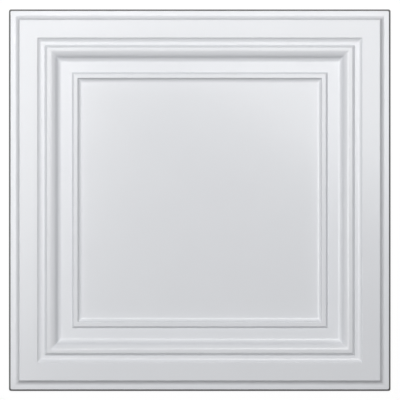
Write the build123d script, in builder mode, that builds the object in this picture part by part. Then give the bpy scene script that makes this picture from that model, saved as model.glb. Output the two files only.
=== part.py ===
from build123d import *
import os

# PVC ceiling tile, pressed from one sheet of rigid PVC.
# It lies on its back with the moulded face up, +Z towards the room. Lengths are in millimetres.
# The origin is the middle of the square, on the plane that the back of the centre panel rests on.

# Sheet
tile_size = 603.0
sheet_thickness = 0.8
corner_radius = 2.5

# Widths in plan from one fold of the face to the next, from the outer edge inwards
flange_width = 11.0
step_run = 3.8
border_width = 28.2
channel_outer_run = 3.5
channel_floor_width = 7.9
channel_inner_run = 4.3
crest_width = 11.0
ogee_run = 6.8
band_width = 21.1
bead_wall_run = 3.1
bead_width = 6.4
cove_run = 0.7

# Heights between the levels of the face
step_rise = 9.0
channel_depth = 4.3
ogee_drop = 13.0
bead_rise = 4.4
cove_drop = 7.2

# Rounding of the folds, measured on the face
crease_radius = 1.0
step_foot_radius = 6.0
channel_outer_radius = 7.3
ogee_top_radius = 10.7
ogee_foot_radius = 7.6
bead_foot_radius = 1.5
cove_radius = 6.6

# The plane that cuts a side at the tile's diagonal
mitre_angle = 45

# Levels of the face above the resting plane
panel_level = sheet_thickness
bead_level = panel_level + cove_drop
band_level = bead_level - bead_rise
border_level = band_level + ogee_drop
channel_level = border_level - channel_depth
flange_level = border_level - step_rise

# Stations across one side, from the outer edge to the middle of the tile
outer_edge = -tile_size / 2
step_foot = outer_edge + flange_width
step_top = step_foot + step_run
channel_outer_top = step_top + border_width
channel_outer_foot = channel_outer_top + channel_outer_run
channel_inner_foot = channel_outer_foot + channel_floor_width
channel_inner_top = channel_inner_foot + channel_inner_run
ogee_top = channel_inner_top + crest_width
ogee_foot = ogee_top + ogee_run
bead_foot = ogee_foot + band_width
bead_outer = bead_foot + bead_wall_run
bead_inner = bead_outer + bead_width
cove_foot = bead_inner + cove_run

# Every fold of the face, where its two flats meet, with its rounding
folds = [
    ((step_foot, flange_level), step_foot_radius),
    ((step_top, border_level), crease_radius),
    ((channel_outer_top, border_level), crease_radius),
    ((channel_outer_foot, channel_level), channel_outer_radius),
    ((channel_inner_foot, channel_level), crease_radius),
    ((channel_inner_top, border_level), crease_radius),
    ((ogee_top, border_level), ogee_top_radius),
    ((ogee_foot, band_level), ogee_foot_radius),
    ((bead_foot, band_level), bead_foot_radius),
    ((bead_outer, bead_level), crease_radius),
    ((bead_inner, bead_level), crease_radius),
    ((cove_foot, panel_level), cove_radius),
]

# One side of the tile: the folded section, run along the side and mitred at both ends
with BuildPart() as side:
    with BuildSketch(Plane.XZ):
        with BuildLine():
            with BuildLine() as face_line:
                Polyline((outer_edge, flange_level), *[place for place, radius in folds], (0, panel_level))
                for place, radius in folds:
                    fillet(face_line.vertices().sort_by_distance(place)[0], radius)
            offset(face_line.line, amount=sheet_thickness, side=Side.RIGHT)
        make_face()
    extrude(amount=tile_size / 2, both=True)
    split(bisect_by=Plane.XZ.rotated((0, 0, mitre_angle)), keep=Keep.BOTTOM)
    split(bisect_by=Plane.XZ.rotated((0, 0, -mitre_angle)), keep=Keep.TOP)

# The whole tile: four mitred sides in one sheet, with the flange's outer corners rounded
with BuildPart() as ceiling_tile:
    with PolarLocations(0, 4):
        add(side.part)
    upright_edges = ceiling_tile.edges().filter_by(Axis.Z)
    fillet(upright_edges.sort_by_distance((0, 0, 0))[-4:], corner_radius)

ceiling_tile.part.label = "ceiling_tile"
os.makedirs("parts", exist_ok=True)
export_step(ceiling_tile.part, "parts/ceiling_tile.step")
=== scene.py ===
from math import copysign, cos, pi, radians, sin, tan

import bmesh
import bpy
from mathutils import Matrix, Vector


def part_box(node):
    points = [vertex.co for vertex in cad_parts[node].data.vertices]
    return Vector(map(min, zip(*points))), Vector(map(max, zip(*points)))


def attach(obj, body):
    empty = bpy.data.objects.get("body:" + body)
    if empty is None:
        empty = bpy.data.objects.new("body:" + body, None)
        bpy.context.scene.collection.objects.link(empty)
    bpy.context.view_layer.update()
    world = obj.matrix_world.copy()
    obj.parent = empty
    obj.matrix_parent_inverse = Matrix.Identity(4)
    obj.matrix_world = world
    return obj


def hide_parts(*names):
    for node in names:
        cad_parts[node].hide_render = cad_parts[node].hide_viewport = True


# A ceiling tile pressed from one sheet of rigid PVC. It lies face up on a pale floor,
# and the camera looks straight down on it. Lengths are in metres.
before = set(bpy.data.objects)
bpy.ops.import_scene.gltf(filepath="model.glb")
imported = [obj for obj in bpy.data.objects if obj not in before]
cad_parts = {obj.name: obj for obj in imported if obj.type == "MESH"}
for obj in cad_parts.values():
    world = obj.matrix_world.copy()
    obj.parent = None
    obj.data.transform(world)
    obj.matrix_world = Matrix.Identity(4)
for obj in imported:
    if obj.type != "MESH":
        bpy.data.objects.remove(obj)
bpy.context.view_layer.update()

MM = 0.001
WELD = 0.001 * MM
ON_LINE = 0.01 * MM

# The pressed sheet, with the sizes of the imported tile
TILE_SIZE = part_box("ceiling_tile")[1].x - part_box("ceiling_tile")[0].x
SHEET = 0.8 * MM
CORNER_RADIUS = 2.5 * MM

# Plan widths between the folds of the face, from the outer edge inwards
FLANGE_WIDTH = 11.0 * MM
STEP_RUN = 3.8 * MM
BORDER_WIDTH = 28.2 * MM
CHANNEL_OUTER_RUN = 3.5 * MM
CHANNEL_FLOOR_WIDTH = 7.9 * MM
CHANNEL_INNER_RUN = 4.3 * MM
CREST_WIDTH = 11.0 * MM
OGEE_RUN = 6.8 * MM
BAND_WIDTH = 21.1 * MM
BEAD_WALL_RUN = 3.1 * MM
BEAD_WIDTH = 6.4 * MM
COVE_RUN = 0.7 * MM

# Heights between the levels of the face
STEP_RISE = 9.0 * MM
CHANNEL_DEPTH = 4.3 * MM
OGEE_DROP = 13.0 * MM
BEAD_RISE = 4.4 * MM
COVE_DROP = 7.2 * MM

# Rounding of the folds
CREASE_RADIUS = 1.0 * MM
STEP_FOOT_RADIUS = 6.0 * MM
CHANNEL_OUTER_RADIUS = 7.3 * MM
OGEE_TOP_RADIUS = 10.7 * MM
OGEE_FOOT_RADIUS = 7.6 * MM
BEAD_FOOT_RADIUS = 1.5 * MM
COVE_RADIUS = 6.6 * MM
FOLD_SEGMENTS = 8

# Rounding of the mitres, and how far from each mitre the line is cut that keeps the faces' slope
MITRE_ROUNDING = 1.1 * MM
MITRE_SEGMENTS = 4
MITRE_HOLD = 2.6 * MM

# Rounding of the flange's corners and of the sheet's cut edge
CORNER_CUTS = 6
CUT_EDGE_ROUNDING = 0.2 * MM
CUT_EDGE_SEGMENTS = 2
CUT_EDGE_ANGLE = radians(70)

# Faces whose normal points up more than this stay flat shaded
LEVEL_FACE = 0.99999

# White rigid PVC: a faint clouding of the white, and the fine skin of the pressed sheet
PVC_ROUGHNESS = 0.185
PVC_IOR = 1.53
PVC_DARKER_WHITE = (0.798, 0.812, 0.842, 1)
PVC_LIGHTER_WHITE = (0.806, 0.820, 0.850, 1)
CLOUDS_PER_METRE = 14.0
CLOUD_DETAIL = 3.0
CLOUD_RANGE = (0.35, 0.65)
GRAINS_PER_METRE = 900.0
GRAIN_DETAIL = 2.0
GRAIN_STRENGTH = 0.15
GRAIN_HEIGHT = 0.05 * MM

# The floor, the share of its own lit colour that the camera sees, and the white laid over it
FLOOR_HALF = 6.0
FLOOR_COLOUR = (0.8, 0.8, 0.8, 1)
FLOOR_ROUGHNESS = 0.9
FLOOR_SPECULAR = 0.1
FLOOR_SHARE = 0.25
FLOOR_GLOW = 1.14

# Painted shadow: under the tile and in a narrow line round it the floor is left without its white, painted as
# dark as a contact shadow
PAINTED_SHADOW_WIDTH = 2.5 * MM
PAINTED_SHADOW_FADE = 0.8 * MM
PAINTED_SHADOW_CORNER = 3.0 * MM

# The photograph's frame
PHOTO_WIDTH_PX = 400
TILE_WIDTH_PX = 378.0
PATTERN_CENTRE_PX = (199.75, 200.2)
CAMERA_HEIGHT = 5.0
SENSOR_MM = 36.0

# The light that comes from all round, and each lamp's place, size and brightness
AMBIENT_LEVEL = 0.06
LAMPS = {
    "side_lamp": ((-0.96, 0.36, 2.68), 1.44, 0.394),
    "top_lamp": ((0.41, 0.61, 1.91), 1.08, 0.334),
    "corner_lamp": ((-1.06, 1.02, 1.61), 0.43, 0.054),
}


def face_folds():
    """Every fold of one side's face as (place across, level, rounding), from the outer edge inwards."""
    panel_level = SHEET
    bead_level = panel_level + COVE_DROP
    band_level = bead_level - BEAD_RISE
    border_level = band_level + OGEE_DROP
    channel_level = border_level - CHANNEL_DEPTH
    flange_level = border_level - STEP_RISE
    moves = [
        (FLANGE_WIDTH, flange_level, STEP_FOOT_RADIUS),
        (STEP_RUN, border_level, CREASE_RADIUS),
        (BORDER_WIDTH, border_level, CREASE_RADIUS),
        (CHANNEL_OUTER_RUN, channel_level, CHANNEL_OUTER_RADIUS),
        (CHANNEL_FLOOR_WIDTH, channel_level, CREASE_RADIUS),
        (CHANNEL_INNER_RUN, border_level, CREASE_RADIUS),
        (CREST_WIDTH, border_level, OGEE_TOP_RADIUS),
        (OGEE_RUN, band_level, OGEE_FOOT_RADIUS),
        (BAND_WIDTH, band_level, BEAD_FOOT_RADIUS),
        (BEAD_WALL_RUN, bead_level, CREASE_RADIUS),
        (BEAD_WIDTH, bead_level, CREASE_RADIUS),
        (COVE_RUN, panel_level, COVE_RADIUS),
    ]
    place = -TILE_SIZE / 2
    folds = [(place, flange_level, 0.0)]
    for width, level, rounding in moves:
        place += width
        folds.append((place, level, rounding))
    return folds + [(0.0, panel_level, 0.0)]


def section_line():
    """The face of one side, from the outer edge to the middle, as a rounded chain in the XZ plane."""
    line = bmesh.new()
    folds = face_folds()
    ends = [line.verts.new((place, 0, level)) for place, level, _ in folds]
    for start, end in zip(ends, ends[1:]):
        line.edges.new((start, end))
    turns = [(fold.co - before.co).angle(after.co - fold.co)
             for before, fold, after in zip(ends, ends[1:], ends[2:])]
    for fold, turn, (_, _, radius) in zip(ends[1:-1], turns, folds[1:-1]):
        bmesh.ops.bevel(line, geom=[fold], offset=radius * tan(turn / 2), offset_type="OFFSET",
                        segments=FOLD_SEGMENTS, profile=0.5, affect="VERTICES", material=-1,
                        clamp_overlap=True)
    return line


def pressed_face():
    """The whole moulded face: one mitre line turned four times round the middle of the tile."""
    face = section_line()
    # Leans the section over to the diagonal, where it becomes the line of a mitre
    to_mitre = Matrix.Identity(4)
    to_mitre[1][0] = 1.0
    bmesh.ops.transform(face, matrix=to_mitre, verts=face.verts)
    bmesh.ops.spin(face, geom=face.verts[:] + face.edges[:], cent=(0, 0, 0), axis=(0, 0, 1),
                   dvec=(0, 0, 0), angle=2 * pi, steps=4, use_merge=True,
                   use_normal_flip=False, use_duplicate=False)
    bmesh.ops.remove_doubles(face, verts=face.verts, dist=WELD)
    bmesh.ops.recalc_face_normals(face, faces=face.faces)
    if sum(polygon.normal.z * polygon.calc_area() for polygon in face.faces) < 0:
        bmesh.ops.reverse_faces(face, faces=face.faces)
    hold_mitres(face)
    soften_mitres(face)
    round_outer_corners(face)
    return face


def cut_face(face, place, across, clear_outer=False):
    """Cuts the whole face by the plane through a place, square to the direction across."""
    bmesh.ops.bisect_plane(face, geom=face.verts[:] + face.edges[:] + face.faces[:], dist=WELD,
                           plane_co=place, plane_no=across, clear_outer=clear_outer)


def hold_mitres(face):
    """Cuts a line along both sides of each mitre, so that the long faces keep their slope up to it."""
    for across in (Vector((1, 1, 0)).normalized(), Vector((1, -1, 0)).normalized()):
        for side in (-1, 1):
            cut_face(face, across * side * MITRE_HOLD, across)


def soften_mitres(face):
    """Rounds the mitre of every moulding between the flange and the centre panel."""
    outermost = TILE_SIZE / 2 - FLANGE_WIDTH + CORNER_RADIUS
    mitres = [edge for edge in face.edges
              if all(on_mitre(v) and 0 < abs(v.co.x) <= outermost for v in edge.verts)]
    bmesh.ops.bevel(face, geom=mitres, offset=MITRE_ROUNDING, offset_type="ABSOLUTE",
                    segments=MITRE_SEGMENTS, profile=0.5, affect="EDGES", material=-1,
                    clamp_overlap=True)


def on_mitre(vert):
    """Whether a point stands over one of the tile's two diagonals."""
    return abs(abs(vert.co.x) - abs(vert.co.y)) < ON_LINE


def round_outer_corners(face):
    """Cuts each outer corner to a round, one straight cut after another."""
    centre = TILE_SIZE / 2 - CORNER_RADIUS
    for quarter in range(4):
        for cut in range(CORNER_CUTS):
            angle = (quarter + (cut + 0.5) / CORNER_CUTS) * pi / 2
            outward = Vector((cos(angle), sin(angle), 0))
            middle = Vector((copysign(centre, outward.x), copysign(centre, outward.y), 0))
            cut_face(face, middle + outward * CORNER_RADIUS, outward, clear_outer=True)


def tile_piece():
    """The tile: the pressed face with the sheet's thickness behind it and its cut edge eased."""
    face = pressed_face()
    for polygon in face.faces:
        polygon.smooth = polygon.normal.z < LEVEL_FACE
    mesh = bpy.data.meshes.new("moulded_tile")
    face.to_mesh(mesh)
    face.free()
    tile = bpy.data.objects.new("moulded_tile", mesh)
    bpy.context.scene.collection.objects.link(tile)
    sheet = tile.modifiers.new("sheet", "SOLIDIFY")
    sheet.thickness = SHEET
    sheet.offset = -1
    sheet.use_even_offset = True
    cut_edge = tile.modifiers.new("cut_edge", "BEVEL")
    cut_edge.width = CUT_EDGE_ROUNDING
    cut_edge.segments = CUT_EDGE_SEGMENTS
    cut_edge.limit_method = "ANGLE"
    cut_edge.angle_limit = CUT_EDGE_ANGLE
    return tile


def new_material(name):
    """An empty material as (material, its nodes, its links, its Principled shader)."""
    material = bpy.data.materials.new(name)
    material.use_nodes = True
    nodes = material.node_tree.nodes
    return material, nodes, material.node_tree.links, nodes["Principled BSDF"]


def satin_pvc():
    """White rigid PVC with the satin skin of a pressed sheet."""
    material, nodes, links, shader = new_material("satin_pvc")
    shader.inputs["Roughness"].default_value = PVC_ROUGHNESS
    shader.inputs["IOR"].default_value = PVC_IOR
    place = nodes.new("ShaderNodeTexCoord")
    clouding = nodes.new("ShaderNodeTexNoise")
    clouding.inputs["Scale"].default_value = CLOUDS_PER_METRE
    clouding.inputs["Detail"].default_value = CLOUD_DETAIL
    links.new(place.outputs["Object"], clouding.inputs["Vector"])
    tone = nodes.new("ShaderNodeValToRGB")
    whites = (PVC_DARKER_WHITE, PVC_LIGHTER_WHITE)
    for stop, position, white in zip(tone.color_ramp.elements, CLOUD_RANGE, whites):
        stop.position = position
        stop.color = white
    links.new(clouding.outputs["Fac"], tone.inputs["Fac"])
    links.new(tone.outputs["Color"], shader.inputs["Base Color"])
    skin = nodes.new("ShaderNodeTexNoise")
    skin.inputs["Scale"].default_value = GRAINS_PER_METRE
    skin.inputs["Detail"].default_value = GRAIN_DETAIL
    links.new(place.outputs["Object"], skin.inputs["Vector"])
    bump = nodes.new("ShaderNodeBump")
    bump.inputs["Strength"].default_value = GRAIN_STRENGTH
    bump.inputs["Distance"].default_value = GRAIN_HEIGHT
    links.new(skin.outputs["Fac"], bump.inputs["Height"])
    links.new(bump.outputs["Normal"], shader.inputs["Normal"])
    return material


def white_to_the_eye(nodes, links):
    """One for the rays that look at the surroundings, also in a reflection, and zero for the light's own."""
    rays = nodes.new("ShaderNodeLightPath")
    looks = rays.outputs["Is Camera Ray"]
    for name in ("Is Glossy Ray", "Is Transmission Ray"):
        either = nodes.new("ShaderNodeMath")
        either.operation = "MAXIMUM"
        links.new(looks, either.inputs[0])
        links.new(rays.outputs[name], either.inputs[1])
        looks = either.outputs["Value"]
    return looks


def painted_contact_shadow(nodes, links):
    """The white laid over the floor, with a painted shadow: none under the tile and in a narrow line round
    it, all of it beyond.
    """
    place = nodes.new("ShaderNodeTexCoord")
    straight = TILE_SIZE / 2 + PAINTED_SHADOW_WIDTH - PAINTED_SHADOW_CORNER
    from_outline = place.outputs["Object"]
    # The distance from a square, which gives the painted shadow line its round corners
    for operation, other in (("ABSOLUTE", (0, 0, 0)), ("SUBTRACT", (straight, straight, 0)),
                             ("MAXIMUM", (0, 0, 0)), ("LENGTH", (0, 0, 0))):
        step = nodes.new("ShaderNodeVectorMath")
        step.operation = operation
        step.inputs[1].default_value = other
        links.new(from_outline, step.inputs[0])
        from_outline = step.outputs["Value" if operation == "LENGTH" else "Vector"]
    # Painted shadow: the white is zero under the tile and in the narrow line round it
    painted_shadow_mask = nodes.new("ShaderNodeMapRange")
    painted_shadow_mask.inputs["From Min"].default_value = PAINTED_SHADOW_CORNER
    painted_shadow_mask.inputs["From Max"].default_value = PAINTED_SHADOW_CORNER + PAINTED_SHADOW_FADE
    painted_shadow_mask.inputs["To Max"].default_value = FLOOR_GLOW
    links.new(from_outline, painted_shadow_mask.inputs["Value"])
    return painted_shadow_mask.outputs["Result"]


def pale_floor():
    """A plain pale floor, which the camera sees as white except for the tile's shadow and a painted shadow
    under and round the tile.
    """
    mesh = bpy.data.meshes.new("floor")
    sheet = bmesh.new()
    bmesh.ops.create_grid(sheet, x_segments=1, y_segments=1, size=FLOOR_HALF)
    sheet.to_mesh(mesh)
    sheet.free()
    floor = bpy.data.objects.new("floor", mesh)
    bpy.context.scene.collection.objects.link(floor)
    material, nodes, links, shader = new_material("pale_floor")
    shader.inputs["Base Color"].default_value = FLOOR_COLOUR
    shader.inputs["Roughness"].default_value = FLOOR_ROUGHNESS
    shader.inputs["Specular IOR Level"].default_value = FLOOR_SPECULAR
    # The white's strength carries the painted shadow under and round the tile
    white = nodes.new("ShaderNodeEmission")
    links.new(painted_contact_shadow(nodes, links), white.inputs["Strength"])
    glow = nodes.new("ShaderNodeMath")
    glow.operation = "MULTIPLY"
    glow.inputs[1].default_value = 1 - FLOOR_SHARE
    links.new(white_to_the_eye(nodes, links), glow.inputs[0])
    mix = nodes.new("ShaderNodeMixShader")
    links.new(glow.outputs["Value"], mix.inputs["Fac"])
    links.new(shader.outputs["BSDF"], mix.inputs[1])
    links.new(white.outputs["Emission"], mix.inputs[2])
    links.new(mix.outputs["Shader"], nodes["Material Output"].inputs["Surface"])
    mesh.materials.append(material)


def studio_world():
    """White to the eye, and a little light from all round."""
    world = bpy.data.worlds.new("studio")
    bpy.context.scene.world = world
    world.use_nodes = True
    nodes, links = world.node_tree.nodes, world.node_tree.links
    background = nodes["Background"]
    background.inputs["Color"].default_value = (1, 1, 1, 1)
    level = nodes.new("ShaderNodeMapRange")
    level.inputs["To Min"].default_value = AMBIENT_LEVEL
    level.inputs["To Max"].default_value = 1.0
    links.new(white_to_the_eye(nodes, links), level.inputs["Value"])
    links.new(level.outputs["Result"], background.inputs["Strength"])


def soft_lamp(name, place, size, brightness):
    """A square lamp pointed at the tile; brightness is what it gives a white surface at the tile's middle."""
    place = Vector(place)
    data = bpy.data.lights.new(name, "AREA")
    data.size = size
    data.energy = brightness * pi ** 2 * place.length ** 3 / place.z
    lamp = bpy.data.objects.new(name, data)
    lamp.location = place
    lamp.rotation_euler = (-place).to_track_quat("-Z", "Y").to_euler()
    bpy.context.scene.collection.objects.link(lamp)


def photo_camera():
    """Straight above the face, with the image's top towards +Y."""
    metres_per_px = TILE_SIZE / TILE_WIDTH_PX
    data = bpy.data.cameras.new("camera")
    data.sensor_width = SENSOR_MM
    data.lens = SENSOR_MM * (CAMERA_HEIGHT - SHEET) / (PHOTO_WIDTH_PX * metres_per_px)
    camera = bpy.data.objects.new("camera", data)
    right = (PHOTO_WIDTH_PX / 2 - PATTERN_CENTRE_PX[0]) * metres_per_px
    up = (PATTERN_CENTRE_PX[1] - PHOTO_WIDTH_PX / 2) * metres_per_px
    camera.location = (right, up, CAMERA_HEIGHT)
    bpy.context.scene.collection.objects.link(camera)
    bpy.context.scene.camera = camera


photo_camera()
studio_world()
for name, (place, size, brightness) in LAMPS.items():
    soft_lamp(name, place, size, brightness)
pale_floor()

tile = tile_piece()
tile.data.materials.append(satin_pvc())
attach(tile, "root")
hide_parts("ceiling_tile")

bpy.context.scene.view_settings.view_transform = "Standard"
